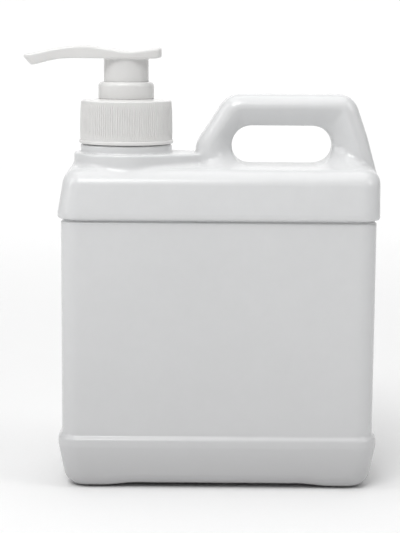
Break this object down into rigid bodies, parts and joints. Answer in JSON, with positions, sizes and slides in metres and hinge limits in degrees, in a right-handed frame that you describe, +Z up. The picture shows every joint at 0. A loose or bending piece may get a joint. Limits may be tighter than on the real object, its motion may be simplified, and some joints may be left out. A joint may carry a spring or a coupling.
{
  "type": "detergent dispenser bottle",
  "caption": "Flat one-litre detergent can with a hollow carrying handle and a screw-on push-down pump with a swivelling spout.",
  "frame": {"origin": "on the surface the bottle stands on, under the middle of the outline seen from above, spout and handle included", "axes": "+Z up, +X from the spout towards the handle, +Y from the front face to the back face"},
  "size_m": [0.1604, 0.06, 0.1975],
  "materials": {
    "bottle_hdpe": "blow-moulded white polyethylene, satin gloss",
    "pump_white": "injection-moulded white polypropylene, gloss",
    "pump_natural": "injection-moulded natural polypropylene, satin",
    "piston_ldpe": "soft polyethylene, satin",
    "foam_seal": "foamed polyethylene",
    "spring_steel": "drawn stainless wire",
    "ball_steel": "ground stainless ball",
    "tube_ldpe": "extruded natural polyethylene"
  },
  "bodies": {
    "bottle": {"bottle": "bottle_hdpe"},
    "pump_unit": {"housing": "pump_natural", "gasket": "foam_seal", "chaplet": "pump_white", "dip_tube": "tube_ldpe", "spring": "spring_steel", "ball_cage": "pump_natural"},
    "closure": {"closure": "pump_white"},
    "piston": {"piston": "piston_ldpe"},
    "plunger": {"head": "pump_white", "stem": "pump_white", "poppet": "pump_natural"},
    "check_ball": {"check_ball": "ball_steel"}
  },
  "joints": [
    {"name": "pump_lift", "type": "slide", "parent": "bottle", "child": "pump_unit", "axis": [0, 0, 1], "range_m": [0, 0.00635]},
    {"name": "closure_turn", "type": "hinge", "parent": "pump_unit", "child": "closure", "pos_m": [-0.0335, 0, 0.1538], "axis": [0, 0, 1], "range_deg": [0, 540]},
    {"name": "pump_stroke", "type": "slide", "parent": "pump_unit", "child": "piston", "axis": [0, 0, 1], "range_m": [-0.01, 0], "stiffness_N_per_m": 800, "springref_m": 0.01, "deforming": ["spring"]},
    {"name": "head_turn", "type": "hinge", "parent": "piston", "child": "plunger", "pos_m": [-0.0335, 0, 0.19175], "axis": [0, 0, 1], "continuous": true},
    {"name": "ball_lift", "type": "slide", "parent": "pump_unit", "child": "check_ball", "axis": [0, 0, 1], "range_m": [0, 0.0015]}
  ],
  "couplings": [
    {"joint": "pump_lift", "follows": "closure_turn", "m_per_rad": 0.00067375}
  ]
}
